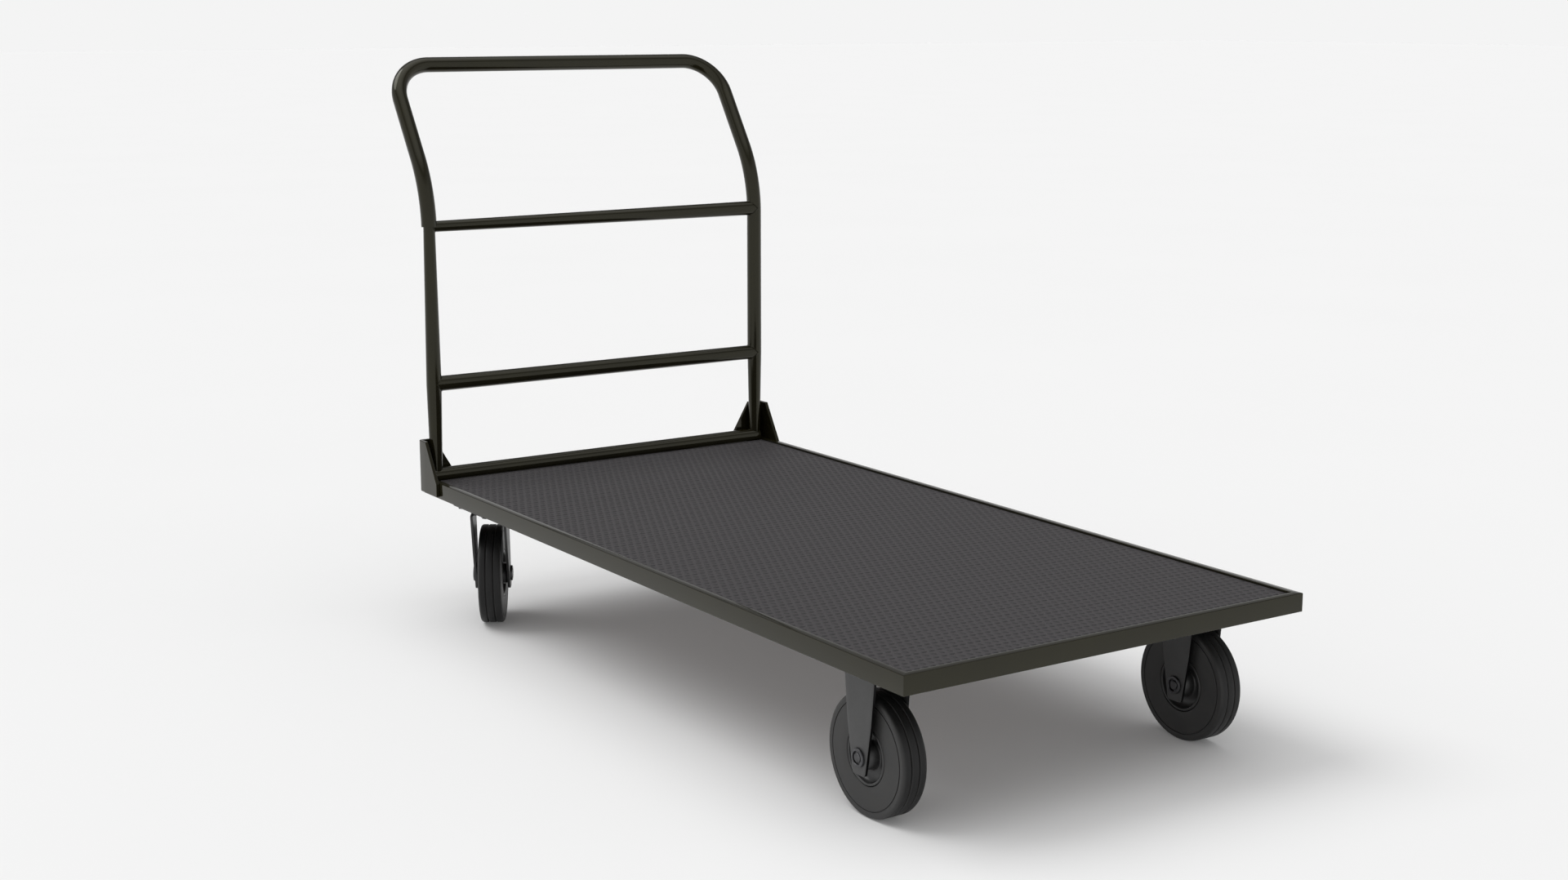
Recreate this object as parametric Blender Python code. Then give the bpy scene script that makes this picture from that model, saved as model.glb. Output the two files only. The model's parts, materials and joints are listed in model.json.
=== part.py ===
"""Flatbed platform truck: a steel deck frame with a lugged mat, a bent-tube push handle on plated
corners, two rigid casters under the front and two swivel casters under the handle end.

Metres, +Z up, floor at z = 0. X runs across the truck, +Y is the way it is pushed, and the origin is
on the floor under the middle of the whole truck, handle overhang included.
"""

import math

import bmesh
import bpy
from mathutils import Matrix, Vector

GAP = 0.0003            # between pieces that touch or are welded
RUN = 0.0008            # between pieces that turn past each other

# Deck frame
DECK_WIDTH = 0.742
DECK_LENGTH = 1.482
RIM_HEIGHT = 0.029
RIM_WALL = 0.003
LIP_WIDTH = 0.012
FOOT_FLANGE = 0.030     # lower flange of the side rails
MAT_THICK = 0.0025
PANEL_THICK = 0.0067
BEAM_WIDTH = 0.030
BEAM_WALL = 0.002

# Push handle
TUBE = 0.028
TUBE_WALL = 0.002
POST_SIDE_INSET = 0.0194   # from the deck's side face to an upright's axis
POST_REAR_INSET = 0.0006   # from the deck's rear face to the uprights' rear sides
FOOT_RAIL_RISE = 0.0042    # heights of the axes above the top of the rim
MIDDLE_RAIL_RISE = 0.1758
UPPER_RAIL_RISE = 0.4654
BEND_START_RISE = 0.457
GRIP_RISE = 0.75185
BEND_RADIUS = 0.237
LEAN = math.radians(33.6)
CORNER_RADIUS = 0.0752
SLIM_POST = 0.0212      # left upright where it enters the bow
SLIM_FOOT = 0.0215      # both uprights where they stand on the foot rail
SLIM_RAIL = 0.020       # left end of the upper rail
SOCKET_DEPTH = 0.010    # how far the left upright goes up inside the bow

# Corner brackets
PLATE = 0.006
PLATE_STEP = 0.004      # underside above the deck's underside
PLATE_RISE = 0.071      # top above the top of the rim
PLATE_FOOT_LEG = 0.073
PLATE_TOP_LEG = 0.0298
PLATE_KNEE = 0.0235     # height of the square end under the slanted edge

# Casters
WHEEL_RADIUS = 0.090
TYRE_WIDTH = 0.0413
SHOULDER = 0.0052
GROOVE_OFFSET = 0.0069
GROOVE_WIDTH = 0.0028
GROOVE_DEPTH = 0.0028
RIM_RADIUS = 0.043
BOWL_RADIUS = 0.0385
HUB_RADIUS = 0.019
WEB_THICK = 0.012
AXLE_RADIUS = 0.006
BUSH_RADIUS = 0.009
FORK_WIDTH = 0.064      # over the outside of the legs
FORK_STEEL = 0.005
LEG_TOP_WIDTH = 0.0732
CROWN_LENGTH = 0.056    # narrower than the legs, clear of the plate's bolt heads
LEG_MIDDLE_WIDTH = 0.056
LEG_MIDDLE_RISE = 0.051  # above the axle
LEG_FOOT_WIDTH = 0.029
LEG_FOOT_DROP = 0.0255   # below the axle
TYRE_CLEARANCE = 0.0349  # tyre to the underside of the swivel fork's crown
CAP_RADIUS = 0.014      # round heads of the axle bolts and nuts
CAP_THICK = 0.0035
CAP_RECESS_RADIUS = 0.0085
CAP_RECESS_DEPTH = 0.0015
TOP_PLATE_LENGTH = 0.120
TOP_PLATE_WIDTH = 0.085
TOP_PLATE_THICK = 0.004
PLATE_BOLT_ACROSS = 0.013
PLATE_BOLT_HEAD = 0.0045
PLATE_BOLT_INSET = 0.012
FRONT_SIDE_INSET = 0.0726  # from the deck's side face to the middle of a front wheel
REAR_SIDE_INSET = 0.0488   # from the deck's side face to a kingpin
FRONT_SETBACK = 0.155   # front axle to the deck's front face
REAR_SETBACK = 0.171    # kingpins to the deck's rear face
TRAIL = 0.045
REAR_HEADING = math.radians(31.27)
RACE_RADIUS = 0.027
RACE_HEIGHT = 0.0012
KINGPIN_RADIUS = 0.006
KINGPIN_HEAD_RADIUS = 0.011
KINGPIN_HEAD = 0.0055
KINGPIN_NUT_ACROSS = 0.019
KINGPIN_NUT = 0.008
KINGPIN_TAIL = 0.003    # thread past the nut

# Places worked out from the dimensions above
TUBE_R = TUBE / 2
HALF_WIDTH = DECK_WIDTH / 2
SWIVEL_STACK = FORK_STEEL + RACE_HEIGHT + TOP_PLATE_THICK + 3 * GAP
DECK_BASE = 2 * WHEEL_RADIUS + TYRE_CLEARANCE + SWIVEL_STACK
DECK_TOP = DECK_BASE + RIM_HEIGHT
FOOT_RAIL_Z = DECK_TOP + FOOT_RAIL_RISE
MIDDLE_RAIL_Z = DECK_TOP + MIDDLE_RAIL_RISE
UPPER_RAIL_Z = DECK_TOP + UPPER_RAIL_RISE
BEND_START_Z = DECK_TOP + BEND_START_RISE
HANDLE_Z = DECK_TOP + GRIP_RISE
PLATE_LOW = DECK_BASE + PLATE_STEP
PLATE_HIGH = DECK_TOP + PLATE_RISE
LEAN_RISE = HANDLE_Z - BEND_START_Z - BEND_RADIUS * math.sin(LEAN)
BOW_SETBACK = BEND_RADIUS * (1 - math.cos(LEAN)) + LEAN_RISE * math.tan(LEAN)
OVERHANG = BOW_SETBACK - POST_REAR_INSET
FRONT_Y = (DECK_LENGTH + OVERHANG) / 2
REAR_Y = FRONT_Y - DECK_LENGTH
POST_X = HALF_WIDTH - POST_SIDE_INSET
POST_Y = REAR_Y + POST_REAR_INSET + TUBE_R
MAT_TOP = DECK_TOP - RIM_WALL
PANEL_TOP = MAT_TOP - MAT_THICK - GAP
PANEL_BASE = PANEL_TOP - PANEL_THICK
MAT_REAR = POST_Y + TUBE_R + GAP
BEAM_TOP = PANEL_BASE - GAP
BEAM_REACH = HALF_WIDTH - FOOT_FLANGE - GAP
MOUNT_Z = DECK_BASE - GAP
HALF_TYRE = TYRE_WIDTH / 2
FORK_INSIDE = FORK_WIDTH / 2 - FORK_STEEL
BEAM_OFFSET = (TOP_PLATE_LENGTH - BEAM_WIDTH) / 2
FRONT_WHEEL_X = HALF_WIDTH - FRONT_SIDE_INSET
KINGPIN_X = HALF_WIDTH - REAR_SIDE_INSET
FRONT_AXLE_Y = FRONT_Y - FRONT_SETBACK
KINGPIN_Y = REAR_Y + REAR_SETBACK
SIDES = {"left": 1, "right": -1}

ROUND = 40
SMALL_ROUND = 24
TUBE_ROUND = 16


def material(name, colour, roughness, metallic):
    made = bpy.data.materials.new(name)
    made.use_nodes = True
    shader = made.node_tree.nodes["Principled BSDF"]
    shader.inputs["Base Color"].default_value = (*colour, 1)
    shader.inputs["Roughness"].default_value = roughness
    shader.inputs["Metallic"].default_value = metallic
    return made


def add_object(name, shape, surface, parent=None, place=(0, 0, 0)):
    """A mesh object from a bmesh, its faces turned outwards."""
    bmesh.ops.recalc_face_normals(shape, faces=shape.faces)
    mesh = bpy.data.meshes.new(name)
    shape.to_mesh(mesh)
    shape.free()
    mesh.materials.append(surface)
    made = bpy.data.objects.new(name, mesh)
    bpy.context.scene.collection.objects.link(made)
    made.parent = parent
    made.location = place
    return made


def soften(made, degrees=40):
    made.data.shade_smooth()
    made.data.set_sharp_from_angle(angle=math.radians(degrees))
    return made


def helper(made):
    made.hide_render = True
    made.display_type = "WIRE"
    return made


def boolean(made, other, operation):
    modifier = made.modifiers.new(other.name, "BOOLEAN")
    modifier.operation = operation
    modifier.object = helper(other)
    return made


def block(name, low, high, surface, parent=None, place=(0, 0, 0)):
    shape = bmesh.new()
    size = Vector(high) - Vector(low)
    middle = (Vector(high) + Vector(low)) / 2
    bmesh.ops.create_cube(shape, size=1, matrix=Matrix.Translation(middle) @ Matrix.Diagonal((*size, 1)))
    return add_object(name, shape, surface, parent, place)


def bridged(shape, rings, closed_path=False):
    """Skins the space between rings of vertices that follow each other."""
    pairs = list(zip(rings, rings[1:]))
    if closed_path:
        pairs.append((rings[-1], rings[0]))
    for first, second in pairs:
        for i in range(len(first)):
            j = (i + 1) % len(first)
            shape.faces.new((first[i], first[j], second[j], second[i]))


def prism(name, low_end, high_end, surface, parent=None, place=(0, 0, 0)):
    """A solid between two outlines with the same number of corners."""
    shape = bmesh.new()
    ends = [[shape.verts.new(corner) for corner in end] for end in (low_end, high_end)]
    bridged(shape, ends)
    shape.faces.new(ends[0])
    shape.faces.new(ends[1])
    return add_object(name, shape, surface, parent, place)


def turned(name, profile, steps, along, surface, parent=None, place=(0, 0, 0)):
    """A ring or solid turned about the x or z axis. profile lists (radius, position along the axis)
    round the section; one that starts and ends on the axis is solid."""
    shape = bmesh.new()
    solid = profile[0][0] == 0
    section = profile[1:-1] if solid else profile
    rings = []
    for step in range(steps):
        angle = 2 * math.pi * step / steps - math.pi / 2
        across, up = math.cos(angle), math.sin(angle)
        rings.append(
            [
                shape.verts.new((t, r * across, r * up) if along == "x" else (r * across, r * up, t))
                for r, t in section
            ]
        )
    for first, second in zip(rings, rings[1:] + rings[:1]):
        for i in range(len(section) - (1 if solid else 0)):
            j = (i + 1) % len(section)
            shape.faces.new((first[i], first[j], second[j], second[i]))
    if solid:
        shape.faces.new([ring[0] for ring in rings])
        shape.faces.new([ring[-1] for ring in rings])
    return soften(add_object(name, shape, surface, parent, place))


def rings_along(shape, path, radii, across):
    """One ring of vertices at each point of a path, square to it. across is a direction that no
    stretch of the path runs along."""
    rings = []
    for i, point in enumerate(path):
        run = (path[min(i + 1, len(path) - 1)] - path[max(i - 1, 0)]).normalized()
        side = Vector(across).cross(run).normalized()
        rise = run.cross(side)
        turns = [2 * math.pi * k / TUBE_ROUND for k in range(TUBE_ROUND)]
        ring = [point + radii[i] * (math.cos(a) * side + math.sin(a) * rise) for a in turns]
        rings.append([shape.verts.new(corner) for corner in ring])
    return rings


def tube(name, path, radii, across, surface):
    """A hollow tube with open ends, radii being its outer radius at each point of the path."""
    shape = bmesh.new()
    outer = rings_along(shape, path, radii, across)
    inner = rings_along(shape, path, [radius - TUBE_WALL for radius in radii], across)
    bridged(shape, outer + inner[::-1], closed_path=True)
    return soften(add_object(name, shape, surface))


def rod(name, path, radii, across, surface):
    """A solid bar along a path."""
    shape = bmesh.new()
    rings = rings_along(shape, path, radii, across)
    bridged(shape, rings)
    shape.faces.new(rings[0])
    shape.faces.new(rings[-1])
    return add_object(name, shape, surface)


# Deck frame ---------------------------------------------------------------------------------------


def rim_section():
    """Corners of the rim's channel section, as (distance inwards from the outer face, height)."""
    base, top = DECK_BASE, DECK_TOP
    return [
        (0, base),
        (0, top),
        (LIP_WIDTH, top),
        (LIP_WIDTH, top - RIM_WALL),
        (RIM_WALL, top - RIM_WALL),
        (RIM_WALL, base + RIM_WALL),
        (FOOT_FLANGE, base + RIM_WALL),
        (FOOT_FLANGE, base),
    ]


def add_side_rail(name, side, steel):
    """Channel rail along one side, mitred at the front corner and cut square at the rear."""
    rear = [(side * (HALF_WIDTH - d), REAR_Y, z) for d, z in rim_section()]
    front = [(side * (HALF_WIDTH - d), FRONT_Y - d - GAP, z) for d, z in rim_section()]
    return prism(name, rear, front, steel)


def add_front_rail(steel):
    left = [(HALF_WIDTH - d - GAP, FRONT_Y - d, z) for d, z in rim_section()]
    right = [(-x, y, z) for x, y, z in left]
    return prism("end_rail_front", right, left, steel)


def add_rear_rail(steel):
    """Low angle under the foot rail, between the side rails' flanges."""
    top = FOOT_RAIL_Z - TUBE_R - GAP
    section = [
        (REAR_Y, DECK_BASE),
        (REAR_Y, top),
        (REAR_Y + RIM_WALL, top),
        (REAR_Y + RIM_WALL, DECK_BASE + RIM_WALL),
        (REAR_Y + FOOT_FLANGE, DECK_BASE + RIM_WALL),
        (REAR_Y + FOOT_FLANGE, DECK_BASE),
    ]
    ends = [[(x, y, z) for y, z in section] for x in (-BEAM_REACH, BEAM_REACH)]
    return prism("end_rail_rear", *ends, steel)


def add_beam(name, y, steel):
    """Rectangular tube across the deck, open at both ends."""
    low = Vector((-BEAM_REACH, y - BEAM_WIDTH / 2, DECK_BASE))
    high = Vector((BEAM_REACH, y + BEAM_WIDTH / 2, BEAM_TOP))
    wall = Vector((-BEAM_WALL, BEAM_WALL, BEAM_WALL))
    beam = block(name, low, high, steel)
    return boolean(beam, block(name + "_bore", low + wall, high - wall, steel), "DIFFERENCE")


def add_deck(steel, board, rubber):
    inside = HALF_WIDTH - RIM_WALL - GAP
    block(
        "deck_panel",
        (-inside, MAT_REAR, PANEL_BASE),
        (inside, FRONT_Y - RIM_WALL - GAP, PANEL_TOP),
        board,
    )
    lip = HALF_WIDTH - LIP_WIDTH - GAP
    block(
        "deck_mat",
        (-lip, MAT_REAR, PANEL_TOP + GAP),
        (lip, FRONT_Y - LIP_WIDTH - GAP, MAT_TOP),
        rubber,
    )
    for name, side in SIDES.items():
        add_side_rail("side_rail_" + name, side, steel)
    add_front_rail(steel)
    add_rear_rail(steel)
    places = {
        "cross_beam_front": FRONT_AXLE_Y + BEAM_OFFSET,
        "cross_beam_front_inner": FRONT_AXLE_Y - BEAM_OFFSET,
        "cross_beam_middle": (FRONT_AXLE_Y + KINGPIN_Y) / 2,
        "cross_beam_rear_inner": KINGPIN_Y + BEAM_OFFSET,
        "cross_beam_rear": KINGPIN_Y - BEAM_OFFSET,
    }
    for name, y in places.items():
        add_beam(name, y, steel)


def add_bracket(name, side, steel):
    """Plate folded round a rear corner of the deck, both legs with the same outline."""
    knee = PLATE_LOW + PLATE_KNEE
    outline = [
        (0, PLATE_LOW),
        (PLATE_FOOT_LEG, PLATE_LOW),
        (PLATE_FOOT_LEG, knee),
        (PLATE_TOP_LEG, PLATE_HIGH),
        (0, PLATE_HIGH),
    ]
    inner_x = HALF_WIDTH + GAP
    outer_x = inner_x + PLATE
    inner_y = REAR_Y - GAP
    outer_y = inner_y - PLATE
    flank = [[(side * x, outer_y + d, z) for d, z in outline] for x in (inner_x, outer_x)]
    back = [[(side * (outer_x - d), y, z) for d, z in outline] for y in (outer_y, inner_y)]
    bracket = prism(name, *flank, steel)
    return boolean(bracket, prism(name + "_back_leg", *back, steel), "UNION")


# Push handle --------------------------------------------------------------------------------------


def side_points(low_z, steps=5):
    """Centre points of one side of the bow, in the plane x = 0, from low_z to the end of its bend."""
    centre = Vector((0, POST_Y - BEND_RADIUS, BEND_START_Z))
    points = []
    first = 0.0
    if low_z < BEND_START_Z:
        points.append(Vector((0, POST_Y, low_z)))
    else:
        first = math.asin((low_z - BEND_START_Z) / BEND_RADIUS)
    for step in range(steps + 1):
        angle = first + (LEAN - first) * step / steps
        points.append(centre + BEND_RADIUS * Vector((0, math.cos(angle), math.sin(angle))))
    return points


def corner_points(steps=8):
    """Centre points of the upper right corner, in the leaning plane of the bow."""
    incline = Vector((0, -math.sin(LEAN), math.cos(LEAN)))
    grip = Vector((CORNER_RADIUS - POST_X, POST_Y - BOW_SETBACK, HANDLE_Z))
    centre = grip - incline * CORNER_RADIUS
    points = []
    for step in range(steps + 1):
        angle = math.pi / 2 * step / steps
        points.append(centre + CORNER_RADIUS * (incline * math.sin(angle) - Vector((math.cos(angle), 0, 0))))
    return points


def bow_path(left_end):
    """Centre points of the bow from the right foot up, over the grip and down to its left end."""
    aside = Vector((POST_X, 0, 0))
    corner = corner_points()
    right_side = [Vector((0, POST_Y, FOOT_RAIL_Z)), *side_points(MIDDLE_RAIL_Z)]
    path = [point - aside for point in right_side] + corner
    path += [Vector((-point.x, point.y, point.z)) for point in reversed(corner)]
    return path + [point + aside for point in reversed(side_points(left_end))]


def bow_radii(path, extra=0.0):
    return [SLIM_FOOT / 2 + extra] + [TUBE_R + extra] * (len(path) - 1)


def saddle(made, name, steel):
    """Cuts the foot of an upright to stand on the foot rail."""
    path = [Vector((x, POST_Y, FOOT_RAIL_Z)) for x in (-HALF_WIDTH, HALF_WIDTH)]
    seat = rod(name, path, [TUBE_R + GAP] * 2, (0, 0, 1), steel)
    return boolean(made, seat, "DIFFERENCE")


def add_handle(steel):
    lean_across = (0.3, 1, 0.2)
    path = bow_path(UPPER_RAIL_Z)
    bow = tube("handle_bow", path, bow_radii(path), lean_across, steel)
    saddle(bow, "bow_foot_saddle", steel)

    heights = [FOOT_RAIL_Z, MIDDLE_RAIL_Z, UPPER_RAIL_Z, UPPER_RAIL_Z + SOCKET_DEPTH]
    upright = [Vector((POST_X, POST_Y, z)) for z in heights]
    radii = [SLIM_FOOT / 2, TUBE_R, SLIM_POST / 2, SLIM_POST / 2]
    post = tube("handle_post_left", upright, radii, (0, 1, 0), steel)
    saddle(post, "post_foot_saddle", steel)

    # Rods a gap wider than the uprights shape the ends of the rails between them.
    path = bow_path(UPPER_RAIL_Z - GAP)
    bow_rod = rod("bow_outline", path, bow_radii(path, GAP), lean_across, steel)
    post_rod = rod("post_outline", upright, [radius + GAP for radius in radii], (0, 1, 0), steel)
    rails = {
        "rail_middle": (MIDDLE_RAIL_Z, TUBE_R),
        "rail_upper": (UPPER_RAIL_Z, SLIM_RAIL / 2),
    }
    for name, (z, left_radius) in rails.items():
        ends = [Vector((x, POST_Y, z)) for x in (-POST_X, POST_X)]
        rail = tube(name, ends, [TUBE_R, left_radius], (0, 0, 1), steel)
        boolean(rail, bow_rod, "DIFFERENCE")
        boolean(rail, post_rod, "DIFFERENCE")

    reach = HALF_WIDTH - LIP_WIDTH - GAP
    ends = [Vector((x, POST_Y, FOOT_RAIL_Z)) for x in (-reach, reach)]
    tube("rail_foot", ends, [TUBE_R, TUBE_R], (0, 0, 1), steel)


# Casters ------------------------------------------------------------------------------------------


def tyre_profile():
    """Section of the ribbed tyre as (radius, offset): bore, flat sides, round shoulders, two grooves."""
    right = [(RIM_RADIUS + GAP, HALF_TYRE)]
    for step in range(4):
        angle = math.pi / 2 * step / 3
        radius = WHEEL_RADIUS - SHOULDER * (1 - math.sin(angle))
        right.append((radius, HALF_TYRE - SHOULDER * (1 - math.cos(angle))))
    for offset, depth in ((0.5, 0), (0, GROOVE_DEPTH), (-0.5, 0)):
        right.append((WHEEL_RADIUS - depth, GROOVE_OFFSET + offset * GROOVE_WIDTH))
    return right + [(r, -t) for r, t in reversed(right)]


def rim_profile():
    """Section of the wheel centre: hub, web and the bowl that the tyre sits on."""
    bore = BUSH_RADIUS + GAP
    hub_half = FORK_INSIDE - RUN
    right = [
        (bore, hub_half),
        (HUB_RADIUS, hub_half),
        (HUB_RADIUS, WEB_THICK / 2),
        (BOWL_RADIUS, WEB_THICK / 2),
        (BOWL_RADIUS, HALF_TYRE),
        (RIM_RADIUS, HALF_TYRE),
    ]
    return right + [(r, -t) for r, t in reversed(right)]


def add_wheel(name, parent, place, looks):
    turned("tyre_" + name, tyre_profile(), ROUND, "x", looks["tyre"], parent, place)
    turned("rim_" + name, rim_profile(), SMALL_ROUND, "x", looks["rim"], parent, place)


def add_axle(name, parent, place, looks):
    """Bush between the fork legs, a bolt through both legs and a round nut on its far end."""
    half = FORK_INSIDE - GAP
    bore = AXLE_RADIUS + GAP
    bush = [(bore, half), (BUSH_RADIUS, half), (BUSH_RADIUS, -half), (bore, -half)]
    turned("axle_bush_" + name, bush, SMALL_ROUND, "x", looks["zinc"], parent, place)
    seat = FORK_WIDTH / 2 + GAP
    face = seat + CAP_THICK
    floor = face - CAP_RECESS_DEPTH
    tail = seat + CAP_THICK / 2
    bolt = [
        (0, -tail),
        (AXLE_RADIUS, -tail),
        (AXLE_RADIUS, seat),
        (CAP_RADIUS, seat),
        (CAP_RADIUS, face),
        (CAP_RECESS_RADIUS, face),
        (CAP_RECESS_RADIUS, floor),
        (0, floor),
    ]
    turned("axle_bolt_" + name, bolt, SMALL_ROUND, "x", looks["zinc"], parent, place)
    nut = [
        (bore, -seat),
        (CAP_RADIUS, -seat),
        (CAP_RADIUS, -face),
        (CAP_RECESS_RADIUS, -face),
        (CAP_RECESS_RADIUS, -floor),
        (bore, -floor),
    ]
    turned("axle_nut_" + name, nut, SMALL_ROUND, "x", looks["zinc"], parent, place)


def add_fork(name, parent, crown_top, shift, kingpin, looks):
    """Bent steel fork whose crown is centred on its parent, with the axle shift behind it."""
    foot_z = WHEEL_RADIUS - LEG_FOOT_DROP
    middle_z = WHEEL_RADIUS + LEG_MIDDLE_RISE
    lean = shift * (middle_z - foot_z) / (crown_top - foot_z)
    outline = [
        (-LEG_FOOT_WIDTH / 2, foot_z),
        (LEG_FOOT_WIDTH / 2, foot_z),
        (LEG_MIDDLE_WIDTH / 2 + lean, middle_z),
        (LEG_TOP_WIDTH / 2 + shift, crown_top),
        (-LEG_TOP_WIDTH / 2 + shift, crown_top),
        (-LEG_MIDDLE_WIDTH / 2 + lean, middle_z),
    ]
    y_axle = -shift
    outer, inner = FORK_WIDTH / 2, FORK_INSIDE
    legs = {
        side: [[(sign * x, y + y_axle, z) for y, z in outline] for x in (inner, outer)]
        for side, sign in SIDES.items()
    }
    fork = prism("fork_" + name, *legs["left"], looks["fork"], parent)
    other_leg = prism(f"fork_{name}_right_leg", *legs["right"], looks["fork"], parent)
    overlap = FORK_STEEL / 2
    crown = block(
        f"fork_{name}_crown",
        (-outer + overlap, -CROWN_LENGTH / 2, crown_top - FORK_STEEL),
        (outer - overlap, CROWN_LENGTH / 2, crown_top),
        looks["fork"],
        parent,
    )
    boolean(fork, crown, "UNION")
    boolean(fork, other_leg, "UNION")
    bore = AXLE_RADIUS + GAP
    rod = [(0, -FORK_WIDTH), (bore, -FORK_WIDTH), (bore, FORK_WIDTH), (0, FORK_WIDTH)]
    place = (0, y_axle, WHEEL_RADIUS)
    cutter = turned(f"fork_{name}_axle_bore", rod, SMALL_ROUND, "x", looks["fork"], parent, place)
    boolean(fork, cutter, "DIFFERENCE")
    if kingpin:
        bore = KINGPIN_RADIUS + GAP
        rod = [(0, -FORK_STEEL * 2), (bore, -FORK_STEEL * 2), (bore, FORK_STEEL), (0, FORK_STEEL)]
        place = (0, 0, crown_top)
        cutter = turned(f"fork_{name}_kingpin_bore", rod, SMALL_ROUND, "z", looks["fork"], parent, place)
        boolean(fork, cutter, "DIFFERENCE")
    return fork


def hexagon(across, z):
    radius = across / math.sqrt(3)
    return [
        (radius * math.cos(math.pi / 3 * k), radius * math.sin(math.pi / 3 * k), z) for k in range(6)
    ]


def add_top_plate(name, parent, kingpin, looks):
    """Mounting plate with its four hexagon bolt heads underneath."""
    base = MOUNT_Z - TOP_PLATE_THICK
    half_x, half_y = TOP_PLATE_WIDTH / 2, TOP_PLATE_LENGTH / 2
    plate = block(name, (-half_x, -half_y, base), (half_x, half_y, MOUNT_Z), looks["fork"], parent)
    for i, (sx, sy) in enumerate(((1, 1), (-1, 1), (-1, -1), (1, -1))):
        place = (sx * (half_x - PLATE_BOLT_INSET), sy * (half_y - PLATE_BOLT_INSET), 0)
        low = hexagon(PLATE_BOLT_ACROSS, base - PLATE_BOLT_HEAD)
        high = hexagon(PLATE_BOLT_ACROSS, base + TOP_PLATE_THICK / 2)
        boolean(plate, prism(f"{name}_bolt_{i}", low, high, looks["zinc"], parent, place), "UNION")
    if kingpin:
        bore = KINGPIN_RADIUS + GAP
        reach = TOP_PLATE_THICK * 2
        rod = [(0, -reach), (bore, -reach), (bore, reach), (0, reach)]
        cutter = turned(name + "_bore", rod, SMALL_ROUND, "z", looks["fork"], parent, (0, 0, base))
        boolean(plate, cutter, "DIFFERENCE")
    return plate


def empty(name, place, angle=0.0):
    made = bpy.data.objects.new(name, None)
    bpy.context.scene.collection.objects.link(made)
    made.location = place
    made.rotation_euler = (0, 0, angle)
    return made


def add_rigid_caster(name, side, looks):
    frame = empty("rigid_caster_frame_" + name, (side * FRONT_WHEEL_X, FRONT_AXLE_Y, 0))
    add_top_plate("top_plate_" + name, frame, False, looks)
    add_fork(name, frame, MOUNT_Z - TOP_PLATE_THICK - GAP, 0, False, looks)
    hub = (0, 0, WHEEL_RADIUS)
    add_wheel(name, frame, hub, looks)
    add_axle(name, frame, hub, looks)


def add_swivel_caster(name, side, looks):
    pin = (side * KINGPIN_X, KINGPIN_Y, 0)
    mount = empty("swivel_mount_frame_" + name, pin)
    swivel = empty("swivel_frame_" + name, pin, -side * REAR_HEADING)
    add_top_plate("top_plate_" + name, mount, True, looks)
    race_top = MOUNT_Z - TOP_PLATE_THICK - GAP
    race_base = race_top - RACE_HEIGHT
    bore = KINGPIN_RADIUS + GAP
    race = [(bore, race_top), (RACE_RADIUS, race_top), (RACE_RADIUS, race_base), (bore, race_base)]
    turned("swivel_race_" + name, race, SMALL_ROUND, "z", looks["zinc"], mount)
    crown_top = race_base - GAP
    add_fork(name, swivel, crown_top, TRAIL, True, looks)
    head_top = crown_top - FORK_STEEL - GAP
    head_base = head_top - KINGPIN_HEAD
    nut_base = MOUNT_Z + GAP
    nut_top = nut_base + KINGPIN_NUT
    pin_top = nut_top + KINGPIN_TAIL
    kingpin = [
        (0, head_base),
        (KINGPIN_HEAD_RADIUS, head_base),
        (KINGPIN_HEAD_RADIUS, head_top),
        (KINGPIN_RADIUS, head_top),
        (KINGPIN_RADIUS, pin_top),
        (0, pin_top),
    ]
    turned("kingpin_" + name, kingpin, SMALL_ROUND, "z", looks["zinc"], mount)
    nut = prism(
        "kingpin_nut_" + name,
        hexagon(KINGPIN_NUT_ACROSS, nut_base),
        hexagon(KINGPIN_NUT_ACROSS, nut_top),
        looks["zinc"],
        mount,
    )
    rod = [(0, nut_base - GAP), (bore, nut_base - GAP), (bore, pin_top), (0, pin_top)]
    cutter = turned(f"kingpin_nut_{name}_bore", rod, SMALL_ROUND, "z", looks["zinc"], mount)
    boolean(nut, cutter, "DIFFERENCE")
    hub = (0, -TRAIL, WHEEL_RADIUS)
    add_wheel(name, swivel, hub, looks)
    add_axle(name, swivel, hub, looks)


def main():
    for old in list(bpy.data.objects):
        bpy.data.objects.remove(old)
    looks = {
        "frame": material("frame_paint", (0.011, 0.011, 0.009), 0.2, 0.0),
        "board": material("deck_board", (0.10, 0.07, 0.05), 0.7, 0.0),
        "mat": material("mat_rubber", (0.058, 0.052, 0.058), 0.8, 0.0),
        "tyre": material("tyre_rubber", (0.030, 0.030, 0.030), 0.7, 0.0),
        "rim": material("rim_plastic", (0.035, 0.035, 0.035), 0.5, 0.0),
        "fork": material("fork_paint", (0.075, 0.075, 0.075), 0.4, 0.0),
        "zinc": material("dark_zinc", (0.09, 0.09, 0.09), 0.35, 1.0),
    }
    add_deck(looks["frame"], looks["board"], looks["mat"])
    for name, side in SIDES.items():
        add_bracket("corner_bracket_" + name, side, looks["frame"])
    add_handle(looks["frame"])
    for name, side in SIDES.items():
        add_rigid_caster("front_" + name, side, looks)
        add_swivel_caster("rear_" + name, side, looks)


main()
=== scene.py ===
"""Looks of the flatbed platform truck: rounded channel rails, drawn tubes, a lugged mat, ribbed tyres
on dished wheel centres and pressed forks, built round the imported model, in a plain pale studio."""

import json
import math

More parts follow.
